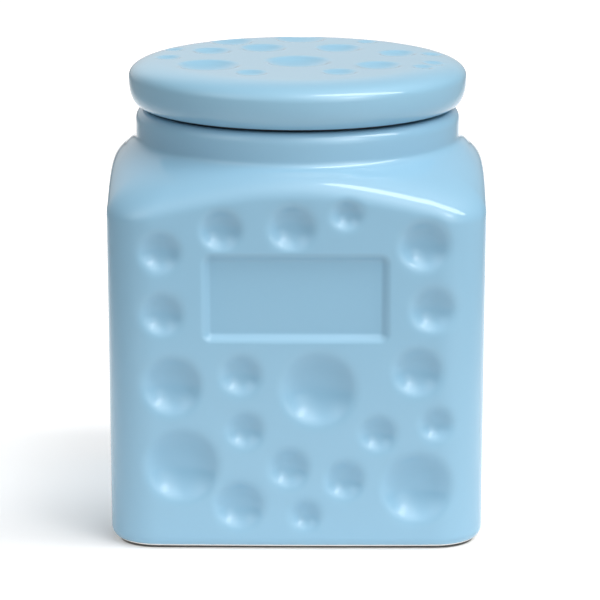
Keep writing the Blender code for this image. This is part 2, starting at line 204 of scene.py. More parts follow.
def finished_mesh(item, tree, values):
    """Runs a tree on an object, keeps the result as its plain mesh and drops the modifier."""
    modifier = item.modifiers.new(tree.name, "NODES")
    modifier.node_group = tree
    for socket in tree.interface.items_tree:
        if socket.in_out == "INPUT" and socket.name in values:
            modifier[socket.identifier] = values[socket.name]
    shapes = bpy.context.evaluated_depsgraph_get()
    shown = item.evaluated_get(shapes)
    mesh = bpy.data.meshes.new_from_object(shown, preserve_all_data_layers=True,
                                           depsgraph=shapes)
    item.modifiers.clear()
    item.data = mesh
    mesh.shade_smooth()
    count = sum(len(face.vertices) - 2 for face in mesh.polygons)
    print(f"{item.name}: {len(mesh.vertices)} points, {count} triangles")
    return item


# %% [markdown]
# ## Sheets of rings
#
# Body, lid and seal are all closed skins around an upright axis, so each starts as a stack
# of rings that are joined by four-sided faces. Even, nearly square faces take a pressed
# dimple without kinks. The rings crowd together only where the shape turns quickly.

# %% Make rings and join them
def add_mesh(name, points, faces, numbers=None):
    """An object from points and faces, with lists of numbers kept on its points."""
    mesh = bpy.data.meshes.new(name)
    mesh.from_pydata(points, [], faces)
    for label, values in (numbers or {}).items():
        layer = mesh.attributes.new(label, "FLOAT", "POINT")
        layer.data.foreach_set("value", np.asarray(values, np.float32))
    item = bpy.data.objects.new(name, mesh)
    bpy.context.scene.collection.objects.link(item)
    return item


def join_rings(rows):
    """Four-sided faces between each ring of point numbers and the next, facing outwards."""
    faces = []
    for lower, upper in zip(rows, rows[1:]):
        beside_lower = np.roll(lower, -1)
        beside_upper = np.roll(upper, -1)
        faces += np.stack([lower, beside_lower, beside_upper, upper], axis=1).tolist()
    return faces


SPREAD_SAMPLES = 20001


def spread(start, end, spacing, crowds):
    """Places from start to end. Each crowd is (middle, reach, finer spacing there)."""
    fine = np.linspace(start, end, SPREAD_SAMPLES)
    density = np.full(fine.shape, 1.0 / spacing)
    for middle, reach, finer in crowds:
        density += (1.0 / finer - 1.0 / spacing) * np.exp(-((fine - middle) / reach) ** 4)
    total = np.concatenate([[0.0], np.cumsum((density[1:] + density[:-1]) / 2.0
                                             * np.diff(fine))])
    count = int(math.ceil(total[-1]))
    return np.interp(np.linspace(0.0, total[-1], count + 1), total, fine)


def even_turns(columns):
    return 2.0 * math.pi * np.arange(columns) / columns


def turned_ring(radius, height, turns):
    """The points of one round ring at these angles around the axis."""
    return np.stack([radius * np.cos(turns), radius * np.sin(turns),
                     np.full(len(turns), height)], axis=1)


def arc(start, end, steps, start_upright, power=2.0):
    """Points after start, up to end, on a quarter of an ellipse or superellipse."""
    turn = 0.5 * math.pi * np.arange(1, steps + 1) / steps
    slow = 1.0 - np.clip(np.cos(turn), 0.0, 1.0) ** (2.0 / power)
    fast = np.sin(turn) ** (2.0 / power)
    across, up = (slow, fast) if start_upright else (fast, slow)
    return [(start[0] + (end[0] - start[0]) * a, start[1] + (end[1] - start[1]) * u)
            for a, u in zip(across, up)]


def rounded(corners, steps):
    """A profile from corners of (radius, height, rounding), each with its corner rounded."""
    points = []
    for index, (radius, height, rounding) in enumerate(corners):
        here = np.array((radius, height))
        if rounding <= 0.0 or index in (0, len(corners) - 1):
            points.append(tuple(here))
            continue
        before = np.array(corners[index - 1][:2]) - here
        after = np.array(corners[index + 1][:2]) - here
        first = here + before / np.linalg.norm(before) * rounding
        last = here + after / np.linalg.norm(after) * rounding
        for share in np.linspace(0.0, 1.0, steps + 1):
            bend = ((1.0 - share) ** 2 * first + 2.0 * share * (1.0 - share) * here
                    + share ** 2 * last)
            points.append(tuple(bend))
    return points


# %% [markdown]
# ## Sizes
#
# These are the jar's own sizes, in metres, as in its CAD source. The body measures 146 mm
# across, the lid 133 mm, and the whole jar stands 180 mm tall. Only the label recess and the
# lid's dimples are a little deeper here, so that they still read under a thick glaze. Sizes
# that a tree works with are kept under the names that its inputs have.

# %% The jar's sizes
HALF_WIDTH = 72.85 * MM
CORNER_RADIUS = 19.0 * MM
WALL = 7.8 * MM
FLOOR_HEIGHT = 9.1 * MM
INNER_FLOOR_RADIUS = 8.0 * MM
FOOT_EDGE_RADIUS = 4.6 * MM
FOOT_LIP_HEIGHT = 0.65 * MM
FOOT_RING_INSET = 7.0 * MM
FOOT_RING_WIDTH = 5.5 * MM
FOOT_RECESS = 1.6 * MM
SHOULDER_TOP = 148.8 * MM
SHOULDER_SLOPE = math.radians(27.8)
NECK_RADIUS = 63.9 * MM
NECK_FILLET = 3.1 * MM
MOUTH_RADIUS = 57.0 * MM
RIM_HEIGHT = 161.5 * MM
RIM_ROUNDING = 4.6 * MM
RIM_INNER_ROUNDING = 1.2 * MM
BORE_FOOT = SHOULDER_TOP - WALL / math.cos(SHOULDER_SLOPE) + (
    NECK_RADIUS - MOUTH_RADIUS) * math.tan(SHOULDER_SLOPE)
FIT_GAP = 0.3 * MM

body_sizes = {
    "Half width": HALF_WIDTH,
    "Corner radius": CORNER_RADIUS,
    "Face crown": 0.6 * MM,
    "Wall draft": 0.8 * MM,
    "Shoulder top": SHOULDER_TOP,
    "Shoulder slope": SHOULDER_SLOPE,
    "Shoulder ease": 0.18,
    "Corner softening": 0.4,
    "Shoulder blend": 11.8 * MM,
    "Blend growth": 2.5,
    "Neck radius": NECK_RADIUS,
    "Neck fillet": NECK_FILLET,
    "Mouth radius": MOUTH_RADIUS,
    "Bore foot": BORE_FOOT,
    "Label half width": 34.6 * MM,
    "Label half height": 16.1 * MM,
    "Label middle height": 99.7 * MM,
    "Label depth": 2.4 * MM,
    "Label corner": 2.6 * MM,
    "Label edge": 3.4 * MM,
}
dimple_sizes = {
    "Dimples": 1,
    "Dimple depth share": 0.345,
    "Deepest dimple": 5.7 * MM,
    "Dimple roll width": 4.1 * MM,
    "Dimple roll share": 0.05,
    "Dimple bowl power": 2.35,
}
lid_dimple_sizes = {**dimple_sizes, "Dimple depth share": 0.20, "Dimple roll width": 0.0,
                    "Dimple roll share": 0.16, "Dimple bowl power": 2.3}
print("bore starts", round(BORE_FOOT / MM, 1), "mm up")

# %% [markdown]
# ## The body's blank
#
# The body is cast, so its wall follows one smooth rule from a rounded square to a round
# neck. The blank is a sheet of rings that knows only its plan: for every point it keeps
# the angle around the axis, the height, and how far it lies inside the outer skin. The
# rings run from the base up the outside, over the rim and down the inside to the floor.

# %% Plan the rings of the body
COLUMN_SPACING = 1.35 * MM
ROW_SPACING = 1.38 * MM
FINE_SPACING = 0.36 * MM
LABEL_CROWD_REACH = 3.0 * MM
# Its middle, its reach and the spacing there
SHOULDER_CROWD = (SHOULDER_TOP - 10.0 * MM, 16.0 * MM, 0.75 * MM)
FOOT_SOFTNESS = 0.5 * MM
BASE_BORDER = 4.0 * MM
BORE_BEND_TOP = BORE_FOOT + 3.0 * MM
BORE_BEND_BOTTOM = BORE_FOOT - 22.0 * MM
INSIDE_SPACING = 4.0 * MM
QUARTER_TURN = 0.5 * math.pi


def square_plan_turns():
    """Angles around the axis, from +X, that lie evenly along the rounded square."""
    flat = HALF_WIDTH - CORNER_RADIUS
    quarter = 2.0 * flat + QUARTER_TURN * CORNER_RADIUS
    front = 3.0 * quarter
    crowds = [(front + side * body_sizes["Label half width"], LABEL_CROWD_REACH, FINE_SPACING)
              for side in (-1, 1)]
    along = spread(-quarter / 2.0, 3.5 * quarter, COLUMN_SPACING, crowds)[:-1]
    turns = []
    for place in along:
        face = round(place / quarter)
        offset = place - face * quarter
        bend = max(abs(offset) - flat, 0.0) / CORNER_RADIUS
        sideways = min(abs(offset), flat) + CORNER_RADIUS * math.sin(bend)
        outward = flat + CORNER_RADIUS * math.cos(bend)
        turns.append(QUARTER_TURN * face + math.copysign(math.atan2(sideways, outward), offset))
    return turns


def body_rows():
    """Rings as (height, inset, wall, plain radius or 0)."""
    outer, inner = FOOT_RING_INSET, FOOT_RING_INSET + FOOT_RING_WIDTH
    soft = FOOT_SOFTNESS
    # From the recessed base over the foot ring to the lip under the body's edge
    foot = [(FOOT_RECESS, inner + BASE_BORDER),
            (FOOT_RECESS, inner + 0.75 * BASE_BORDER),
            (FOOT_RECESS, inner + FOOT_RECESS + soft),
            (FOOT_RECESS - soft / 3.0, inner + FOOT_RECESS - soft / 3.0),
            (soft / 3.0, inner + soft / 3.0),
            (0.0, inner - soft),
            (0.0, inner - 2.0 * soft),
            (0.0, outer + 2.0 * soft),
            (0.0, outer + soft),
            (soft / 3.0, outer + soft / 4.0),
            (FOOT_LIP_HEIGHT, outer),
            (FOOT_LIP_HEIGHT, FOOT_EDGE_RADIUS + 2.0 * soft),
            (FOOT_LIP_HEIGHT, FOOT_EDGE_RADIUS)]
    rows = [(height, inset, 0.0, 0.0) for height, inset in foot]
    edge = arc((FOOT_EDGE_RADIUS, FOOT_LIP_HEIGHT),
               (0.0, FOOT_LIP_HEIGHT + FOOT_EDGE_RADIUS), steps=12, start_upright=False)
    rows += [(height, inset, 0.0, 0.0) for inset, height in edge]
    crowds = [(body_sizes["Label middle height"] + side * body_sizes["Label half height"],
               LABEL_CROWD_REACH, FINE_SPACING) for side in (-1, 1)] + [SHOULDER_CROWD]
    top = RIM_HEIGHT - RIM_ROUNDING
    heights = spread(FOOT_LIP_HEIGHT + FOOT_EDGE_RADIUS, top, ROW_SPACING, crowds)[1:]
    rows += [(height, 0.0, 0.0, 0.0) for height in heights]
    rim = arc((NECK_RADIUS, top), (NECK_RADIUS - RIM_ROUNDING, RIM_HEIGHT),
              steps=8, start_upright=True)
    inner_edge = (MOUTH_RADIUS + RIM_INNER_ROUNDING, RIM_HEIGHT)
    rim += [inner_edge]
    rim += arc(inner_edge, (MOUTH_RADIUS, RIM_HEIGHT - RIM_INNER_ROUNDING),
               steps=6, start_upright=False)
    rows += [(height, 0.0, 0.0, radius) for radius, height in rim]
    inside = np.concatenate([
        np.linspace(RIM_HEIGHT - RIM_INNER_ROUNDING, BORE_BEND_TOP, 6)[1:],
        np.linspace(BORE_BEND_TOP - soft, BORE_BEND_BOTTOM, 18),
        np.linspace(BORE_BEND_BOTTOM - INSIDE_SPACING, FLOOR_HEIGHT + INNER_FLOOR_RADIUS, 8)])
    rows += [(height, 0.0, WALL, 0.0) for height in inside]
    floor = arc((0.0, FLOOR_HEIGHT + INNER_FLOOR_RADIUS), (INNER_FLOOR_RADIUS, FLOOR_HEIGHT),
                steps=8, start_upright=True)
    floor += [(INNER_FLOOR_RADIUS + 2.0 * soft, FLOOR_HEIGHT)]
    rows += [(height, inset, WALL, 0.0) for inset, height in floor]
    return rows


def make_body_blank():
    turns = square_plan_turns()
    rows = body_rows()
    columns = len(turns)
    numbers = {"turn": np.tile(turns, len(rows))}
    for place, label in enumerate(("height", "inset", "wall", "plain_radius")):
        numbers[label] = np.repeat([row[place] for row in rows], columns)
    rings = np.arange(columns * len(rows)).reshape(len(rows), columns)
    faces = join_rings(rings)
    faces += [rings[0][::-1].tolist(), rings[-1].tolist()]
    print("body blank:", columns, "columns and", len(rows), "rings")
    return add_mesh("glazed_body", np.zeros((rings.size, 3)), faces, numbers)


# %% [markdown]
# ## The rule of the body
#
# Around the axis, the outer skin is the smaller of two radii: that of a rounded square, and
# that of a cap made of the sloping shoulder and the round neck. Where the two come close,
# a soft minimum rounds the edge between them, and that is the long curved crease that runs
# over the front of the shoulder. Toward the corners the shoulder gets a little gentler and
# its edge softer. The inner skin uses the same rule, one wall further in.

# %% Turn the rule into nodes
SMALLEST_CORNER = 0.3 * MM
# By this share of its half width, the square's corner lies farther out than its side
CORNER_REACH_SHARE = 0.307


def meeting(a, b, blend):
    """What rounds off the corner where two numbers meet: most where they are equal."""
    near = most(blend - (a - b).through("ABSOLUTE"), 0.0) / blend
    return near * near * blend * 0.25


def soft_least(a, b, blend):
    return least(a, b) - meeting(a, b, blend)


def soft_most(a, b, blend):
    return most(a, b) + meeting(a, b, blend)


def square_radius_rule(turn, half, corner, crown):
    """Distance from the axis to a rounded square whose sides bulge by a crown."""
    eighth = QUARTER_TURN / 2.0
    off_face = (turn + eighth).through("FLOORED_MODULO", QUARTER_TURN) - eighth
    off_face = off_face.through("ABSOLUTE")
    flat = half - corner
    along = half * off_face.through("TANGENT")
    bulge = crown * (1.0 - (along / flat) ** 2.0)
    on_side = half / cosine(off_face) + bulge
    middle = flat * (cosine(off_face) + sine(off_face))
    inside_root = most(middle * middle - 2.0 * flat * flat + corner * corner, 0.0)
    on_corner = middle + inside_root.through("SQRT")
    return choose(along.through("LESS_THAN", flat), on_side, on_corner)


def body_radius_rule(tree, size):
    turn, height = read_number(tree, "turn"), read_number(tree, "height")
    inset, wall = read_number(tree, "inset"), read_number(tree, "wall")
    plain = read_number(tree, "plain_radius")
    is_inner = wall.through("GREATER_THAN", 0.0)
    draft = size["Wall draft"] * most(1.0 - height / size["Shoulder top"], 0.0)
    inward = inset + wall
    corner = most(size["Corner radius"] - inward, SMALLEST_CORNER)
    half = size["Half width"] - draft - inward
    square = square_radius_rule(turn, half, corner, size["Face crown"])
    neck = choose(is_inner, size["Mouth radius"], size["Neck radius"])
    foot = choose(is_inner, size["Bore foot"], size["Shoulder top"])
    toward_corner = (square / half - 1.0) / CORNER_REACH_SHARE
    ease = 1.0 + size["Shoulder ease"] * toward_corner
    slope = neck + (foot - height) / size["Shoulder slope"].through("TANGENT") * ease
    cap = soft_most(slope, neck, size["Neck fillet"])
    widest = size["Shoulder blend"] * (1.0 + size["Corner softening"] * toward_corner)
    blend = least(widest, size["Blend growth"] * (cap - neck))
    radius = soft_least(square, cap, blend)
    return choose(plain.through("GREATER_THAN", 0.0), plain, radius)


def place_points(tree, geometry, size):
    """Moves every point of the blank to where the rule puts it."""
    turn = read_number(tree, "turn")
    radius = body_radius_rule(tree, size)
    place = tree.nodes.new("ShaderNodeCombineXYZ")
    feed(tree, radius * cosine(turn), place.inputs["X"])
    feed(tree, radius * sine(turn), place.inputs["Y"])
    feed(tree, read_number(tree, "height"), place.inputs["Z"])
    move = tree.nodes.new("GeometryNodeSetPosition")
    tree.links.new(geometry, move.inputs["Geometry"])
    tree.links.new(place.outputs["Vector"], move.inputs["Position"])
    return move.outputs["Geometry"]


# %% [markdown]
# ## Dimples
#
# The dimples are round hollows with softly rolled rims, like thumb prints in clay. They
# could be cut with spheres, but a cut leaves a sharp rim and long thin faces. Here each is
# pressed instead: every point of the skin within a dimple's radius moves straight in by a
# depth that follows one curve. The rim rolls over slowly at first and then quickly, so each
# bowl has a clear edge with a soft margin around it. A repeat zone goes through a table of
# dimples, so the same few nodes press them all. Each place in the table aims a ray at the
# skin, and the dimple sits where the ray meets it.

# %% Press dimples into a skin
ROLL_POWER = 3.2
RAY_LENGTH = 1.0


def dimple_depth_rule(share, roll, power):
    """1 at a dimple's middle and 0 at its rim: a bowl with a rolled edge."""
    bend = 1.0 - roll
    bowl = bend / power
    edge = roll / ROLL_POWER
    whole = bowl + edge
    inside = 1.0 - bowl / whole * (share / bend) ** power
    outside = edge / whole * ((1.0 - share) / roll) ** ROLL_POWER
    return choose(share.through("LESS_THAN", bend), inside, outside)


def seat_dimples(tree, entry, skin):
    """The table's points, moved along their aim on to the skin."""
    table = tree.nodes.new("GeometryNodeObjectInfo")
    tree.links.new(entry.outputs["Dimple table"], table.inputs["Object"])
    ray = tree.nodes.new("GeometryNodeRaycast")
    tree.links.new(skin, ray.inputs["Target Geometry"])
    tree.links.new(read_vector(tree, "aim"), ray.inputs["Ray Direction"])
    ray.inputs["Ray Length"].default_value = RAY_LENGTH
    seats = store(tree, table.outputs["Geometry"], "seat_normal", ray.outputs["Hit Normal"],
                  "FLOAT_VECTOR")
    move = tree.nodes.new("GeometryNodeSetPosition")
    tree.links.new(seats, move.inputs["Geometry"])
    tree.links.new(ray.outputs["Hit Position"], move.inputs["Position"])
    return move.outputs["Geometry"]


def sample(tree, geometry, value, index, kind):
    node = tree.nodes.new("GeometryNodeSampleIndex")
    node.data_type = kind
    tree.links.new(geometry, node.inputs["Geometry"])
    feed(tree, value, node.inputs["Value"])
    feed(tree, index, node.inputs["Index"])
    return node.outputs["Value"]


def press_dimples(tree, entry, skin, size):
    """Keeps on each point how deep the deepest dimple there presses it."""
    place = tree.nodes.new("GeometryNodeInputPosition").outputs["Position"]
    normal = tree.nodes.new("GeometryNodeInputNormal").outputs["Normal"]
    seats = seat_dimples(tree, entry, skin)
    skin = store(tree, skin, "plain_place", place, "FLOAT_VECTOR")
    skin = store(tree, skin, "plain_normal", normal, "FLOAT_VECTOR")
    skin = store(tree, skin, "press", 0.0)
    first = tree.nodes.new("GeometryNodeRepeatInput")
    last = tree.nodes.new("GeometryNodeRepeatOutput")
    first.pair_with_output(last)
    if not len(last.repeat_items):
        last.repeat_items.new("GEOMETRY", "Geometry")
    feed(tree, size["Dimples"], first.inputs["Iterations"])
    tree.links.new(skin, first.inputs["Geometry"])
    index = first.outputs["Iteration"]
    seat = sample(tree, seats, place, index, "FLOAT_VECTOR")
    seat_normal = sample(tree, seats, read_vector(tree, "seat_normal"), index, "FLOAT_VECTOR")
    radius = Rule(tree, sample(tree, seats, read_number(tree, "dimple_radius"), index, "FLOAT"))
    away = Rule(tree, vector_math(tree, "DISTANCE", read_vector(tree, "plain_place"), seat,
                                  result="Value"))
    faces_out = Rule(tree, vector_math(tree, "DOT_PRODUCT", read_vector(tree, "plain_normal"),
                                       seat_normal, result="Value"))
    share = least(away / radius, 1.0)
    deepest = least(radius * size["Dimple depth share"], size["Deepest dimple"])
    roll = size["Dimple roll width"] / radius + size["Dimple roll share"]
    depth = deepest * dimple_depth_rule(share, roll, size["Dimple bowl power"])
    depth = depth * faces_out.through("GREATER_THAN", 0.0)
    pressed = store(tree, first.outputs["Geometry"], "press",
                    most(read_number(tree, "press"), depth))
    tree.links.new(pressed, last.inputs["Geometry"])
    return last.outputs["Geometry"]


def push_in(tree, skin):
    """Moves every point in along its plain normal, by what its press attribute says."""
    inward = vector_math(tree, "SCALE", read_vector(tree, "plain_normal"),
                         -1.0 * read_number(tree, "press"))
    move = tree.nodes.new("GeometryNodeSetPosition")
    tree.links.new(skin, move.inputs["Geometry"])
    tree.links.new(inward, move.inputs["Offset"])
    return move.outputs["Geometry"]


# %% [markdown]
# ## The label recess
#
# A shallow rectangle is pressed into the front for a paper label. Its edge is soft, as
# glaze rounds every edge that it runs over. The distance to a rectangle with rounded
# corners gives the depth at each point, so the recess needs no cutting either.

# %% Press the label recess
LABEL_WALL_LIMIT = 1.4
LABEL_WALL_POWER = 1.6
LABEL_FLOOR_BLEND = 0.3
FRONT_SHARE = 0.8
THINNEST_WALL = 0.1 * MM


def press_label(tree, skin, size):
    """Adds the recess to what presses the outer skin in, on the front only."""
    parts = tree.nodes.new("ShaderNodeSeparateXYZ")
    tree.links.new(read_vector(tree, "plain_place"), parts.inputs["Vector"])
    x, y, z = (Rule(tree, parts.outputs[axis]) for axis in "XYZ")
    corner = size["Label corner"]
    off_x = x.through("ABSOLUTE") - (size["Label half width"] - corner)
    off_z = (z - size["Label middle height"]).through("ABSOLUTE") - (
        size["Label half height"] - corner)
    outer_x, outer_z = most(off_x, 0.0), most(off_z, 0.0)
    round_part = (outer_x * outer_x + outer_z * outer_z).through("SQRT")
    outside = round_part + least(most(off_x, off_z), 0.0) - corner
    share = least(most(0.5 - outside / size["Label edge"], 0.0), LABEL_WALL_LIMIT)
    share = soft_least(share ** LABEL_WALL_POWER, 1.0, LABEL_FLOOR_BLEND)
    on_front = (y + FRONT_SHARE * size["Half width"]).through("LESS_THAN", 0.0)
    is_outer = read_number(tree, "wall").through("LESS_THAN", THINNEST_WALL)
    depth = size["Label depth"] * share * on_front * is_outer
    return store(tree, skin, "press", read_number(tree, "press") + depth)


def body_tree():
    tree, entry, size = start_tree("cast_jar_body", {**body_sizes, **dimple_sizes})
    skin = place_points(tree, entry.outputs["Geometry"], size)
    skin = press_dimples(tree, entry, skin, size)
    skin = press_label(tree, skin, size)
    end_tree(tree, entry, push_in(tree, skin))
    return tree


# %% [markdown]
# ## Where the dimples are
#
# The front has twenty dimples in the places that the real jar has them. The other faces
# have a scatter of the same sizes. Places are shares of the face's half width and of the
# shoulder's height, and each size is a share of the largest dimple's radius.

# %% Tables of dimples
DIMPLE_RADIUS = 17.7 * MM
LID_DIMPLE_RADIUS = 14.3 * MM
TABLE_DISTANCE = 1.5 * HALF_WIDTH
FRONT_DIMPLES = (
    (-0.710, 0.789, 0.629), (-0.390, 0.848, 0.634), (-0.020, 0.854, 0.685),
    (0.266, 0.888, 0.512), (0.670, 0.807, 0.736), (-0.702, 0.627, 0.641),
    (0.718, 0.640, 0.677), (-0.651, 0.439, 0.829), (-0.289, 0.468, 0.620),
    (0.118, 0.431, 1.000), (0.638, 0.477, 0.714), (-0.268, 0.322, 0.580),
    (0.431, 0.313, 0.573), (0.741, 0.337, 0.550), (-0.601, 0.226, 0.997),
    (-0.037, 0.221, 0.621), (0.256, 0.189, 0.607), (0.641, 0.168, 0.972),
    (-0.298, 0.121, 0.719), (0.051, 0.095, 0.519),
)
PLAIN_FACE_DIMPLES = (
    (-0.52, 0.785, 0.67), (-0.19, 0.840, 0.72), (0.12, 0.867, 0.54), (0.45, 0.806, 0.76),
    (-0.30, 0.672, 0.59), (0.06, 0.685, 0.81), (-0.59, 0.645, 0.56), (0.41, 0.638, 0.59),
    (-0.42, 0.497, 0.84), (-0.07, 0.524, 0.62), (0.31, 0.470, 0.94), (0.61, 0.565, 0.50),
    (-0.55, 0.316, 0.59), (-0.23, 0.336, 0.67), (0.08, 0.296, 0.56), (0.56, 0.316, 0.62),
    (-0.42, 0.161, 0.81), (-0.05, 0.148, 0.62), (0.31, 0.175, 0.84), (0.61, 0.155, 0.51),
)
LID_DIMPLES = (
    (0.005, -0.119, 1.00), (-0.517, -0.256, 0.95), (0.475, -0.256, 0.69),
    (-0.209, 0.379, 0.71), (0.243, 0.375, 0.71), (0.012, 0.749, 0.80),
    (-0.406, 0.628, 0.68), (-0.515, 0.266, 0.59), (0.592, 0.183, 0.58),
    (-0.261, -0.526, 0.49), (0.248, -0.497, 0.53), (0.417, 0.621, 0.32),
    (-0.766, 0.023, 0.39), (-0.744, 0.330, 0.32), (0.735, -0.303, 0.31),
    (0.801, 0.160, 0.32), (0.801, -0.159, 0.31),
)


def make_table(name, entries):
    """Loose points outside the skin, each with its aim and its dimple's radius."""
    mesh = bpy.data.meshes.new(name)
    mesh.from_pydata([place for place, _, _ in entries], [], [])
    aims = mesh.attributes.new("aim", "FLOAT_VECTOR", "POINT")
    aims.data.foreach_set("vector", np.array([aim for _, aim, _ in entries]).ravel())
    radii = mesh.attributes.new("dimple_radius", "FLOAT", "POINT")
    radii.data.foreach_set("value", [radius for _, _, radius in entries])
    table = bpy.data.objects.new(name, mesh)
    bpy.context.scene.collection.objects.link(table)
    print(name, "holds", len(entries), "dimples")
    return table


def body_table():
    """The dimples of all four faces. The back has a side's scatter, mirrored."""
    entries = []
    for face in range(4):
        turn = QUARTER_TURN * (face - 1)
        outward = np.array((math.cos(turn), math.sin(turn), 0.0))
        sideways = np.array((-math.sin(turn), math.cos(turn), 0.0))
        mirror = -1.0 if face == 2 else 1.0
        for across, up, size in PLAIN_FACE_DIMPLES if face else FRONT_DIMPLES:
            place = (outward * TABLE_DISTANCE + sideways * mirror * HALF_WIDTH * across
                     + np.array((0.0, 0.0, SHOULDER_TOP * up)))
            entries.append((place, -outward, DIMPLE_RADIUS * size))
    return make_table("body_dimples", entries)


# %% [markdown]
# ## Glaze
#
# The glaze is a clear glass over a blue ground. It is one Principled shader: the ground's
# colour drifts a little over the piece, is a touch deeper where the glaze pooled in the
# hollows, and the surface has the faint ripple of a glaze that ran. The foot is wiped bare
# before firing, so it shows the pale clay. The seal is a dull silicone, painted near black
# so that its flange also gives the painted shade of the gap between lid and neck.

# %% Glaze, bare clay and soft seal
CLAY = (0.93, 0.91, 0.86)
CLAY_LINE = 1.65 * MM
CLAY_LINE_WANDER = 0.3 * MM
TONE_START, TONE_DRIFT, TONE_POOLED = 0.1, 0.35, 0.5
GLAZE_ROUGHNESS, GLAZE_ROUGHNESS_DRIFT, CLAY_ROUGHNESS = 0.06, 0.05, 0.55
RIPPLE_DEPTH = 0.05 * MM
RIPPLE_STRENGTH = 0.25
# Near-black seal colours: silicone, painted this dark as the painted shade of the gap under the
# lid
SILICONE_AND_GAP_SHADE_DARK, SILICONE_AND_GAP_SHADE_PALE = (0.020, 0.021, 0.023), (0.035, 0.036, 0.038)
SILICONE_ROUGHNESS, SILICONE_ROUGHNESS_DRIFT = 0.45, 0.15


def new_material(name):
    material = bpy.data.materials.new(name)
    material.use_nodes = True
    tree = material.node_tree
    return material, tree, tree.nodes["Principled BSDF"]


def noise(tree, where, scale, detail=3.0):
    node = tree.nodes.new("ShaderNodeTexNoise")
    node.inputs["Scale"].default_value = scale
    node.inputs["Detail"].default_value = detail
    tree.links.new(where, node.inputs["Vector"])
    return Rule(tree, node.outputs["Fac"])


def mix_colours(tree, share, first, second):
    node = tree.nodes.new("ShaderNodeMix")
    node.data_type = "RGBA"
    feed(tree, share, node.inputs["Factor"])
    for socket, colour in ((node.inputs[6], first), (node.inputs[7], second)):
        if isinstance(colour, tuple):
            socket.default_value = (*colour, 1.0)
        else:
            tree.links.new(colour, socket)
    return node.outputs[2]


def glaze(name, thin, deep, pool_depth):
    """A glossy glaze between a thin and a deep tone, over clay that shows at the foot."""
    material, tree, shader = new_material(name)
    where = tree.nodes.new("ShaderNodeTexCoord").outputs["Object"]
    drift = noise(tree, where, scale=14.0)
    press = tree.nodes.new("ShaderNodeAttribute")
    press.attribute_name = "press"
    pooled = least(Rule(tree, press.outputs["Fac"]) / pool_depth, 1.0)
    tone = TONE_START + TONE_DRIFT * drift + TONE_POOLED * pooled
    colour = mix_colours(tree, tone, thin, deep)
    parts = tree.nodes.new("ShaderNodeSeparateXYZ")
    tree.links.new(where, parts.inputs["Vector"])
    edge = noise(tree, where, scale=300.0) * CLAY_LINE_WANDER + CLAY_LINE
    bare = Rule(tree, parts.outputs["Z"]).through("LESS_THAN", edge)
    colour = mix_colours(tree, bare, colour, CLAY)
    tree.links.new(colour, shader.inputs["Base Color"])
    roughness = GLAZE_ROUGHNESS + GLAZE_ROUGHNESS_DRIFT * noise(tree, where, scale=60.0)
    feed(tree, roughness + CLAY_ROUGHNESS * bare, shader.inputs["Roughness"])
    shader.inputs["IOR"].default_value = 1.5
    ripple = tree.nodes.new("ShaderNodeBump")
    ripple.inputs["Strength"].default_value = RIPPLE_STRENGTH
    ripple.inputs["Distance"].default_value = RIPPLE_DEPTH
    feed(tree, noise(tree, where, scale=220.0, detail=2.0), ripple.inputs["Height"])
    tree.links.new(ripple.outputs["Normal"], shader.inputs["Normal"])
    return material


def silicone(name):
    material, tree, shader = new_material(name)
    where = tree.nodes.new("ShaderNodeTexCoord").outputs["Object"]
    # Painted shade: the near-black seal stands in for the shadow in the gap between lid and
    # neck
    colour = mix_colours(tree, noise(tree, where, scale=40.0), SILICONE_AND_GAP_SHADE_DARK, SILICONE_AND_GAP_SHADE_PALE)
    tree.links.new(colour, shader.inputs["Base Color"])
    roughness = SILICONE_ROUGHNESS + SILICONE_ROUGHNESS_DRIFT * noise(tree, where, scale=400.0)
    feed(tree, roughness, shader.inputs["Roughness"])
    return material


body_glaze = glaze("body_glaze", thin=(0.283, 0.492, 0.642), deep=(0.237, 0.450, 0.612),
                   pool_depth=8.0 * MM)
lid_glaze = glaze("lid_glaze", thin=(0.288, 0.498, 0.640), deep=(0.240, 0.455, 0.605),
                  pool_depth=3.0 * MM)
seal_silicone = silicone("seal_silicone")

# %% [markdown]
# ## Cast the body
#
# Now blank, table and tree come together. The table of dimples is a helper and is removed
# as soon as the skin has been pressed.

# %% Make the body
body_dimples = body_table()
glazed_body = finished_mesh(make_body_blank(), body_tree(), {
    **body_sizes, **dimple_sizes, "Material": body_glaze, "Dimple table": body_dimples,
    "Dimples": len(body_dimples.data.vertices)})
bpy.data.objects.remove(body_dimples, do_unlink=True)
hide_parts("jar_body")
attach(glazed_body, "jar")

# %% [markdown]
# ## The lid
#
# The lid is turned: a flat top, a full rounded edge, and underneath a plug ring that drops
# into the mouth. A turned shape usually has a pole in the middle, where all its faces meet
# in a point, and a dimple lies right there. So the top is laid out as a round patch of
# four-sided faces instead, and rings take over from its border.

# %% Plan the lid
LID_GAP = 1.1 * MM
LID_HEIGHT = 17.7 * MM
LID_WIDEST_SHARE = 0.61
LID_OVERHANG = 2.7 * MM
LID_FOOT_INSET = 2.7 * MM
LID_TOP_ROUNDING = 16.6 * MM
LID_EDGE_POWER = 2.33
LID_MIDDLE_THICKNESS = 6.651 * MM
LID_CEILING_ROUNDING = 5.5 * MM
LID_CEILING_BORDER = 8.0 * MM
LID_SOFTNESS = 0.4 * MM
PLUG_WALL = 5.5 * MM
PLUG_BEAD_HEIGHT = 3.0 * MM
PLUG_BEAD_REACH = 1.7 * MM
PLUG_BEAD_ROUNDING = 1.0 * MM
PLUG_INNER_ROUNDING = 1.5 * MM
SEAL_FLANGE = 1.2 * MM
SEAL_FLANGE_INSET = 4.0 * MM
SEAL_SLEEVE = 1.9 * MM
SEAL_LENGTH = 11.0 * MM
SEAL_LIP_REACH = 1.9 * MM
HALF_PATCH = 60

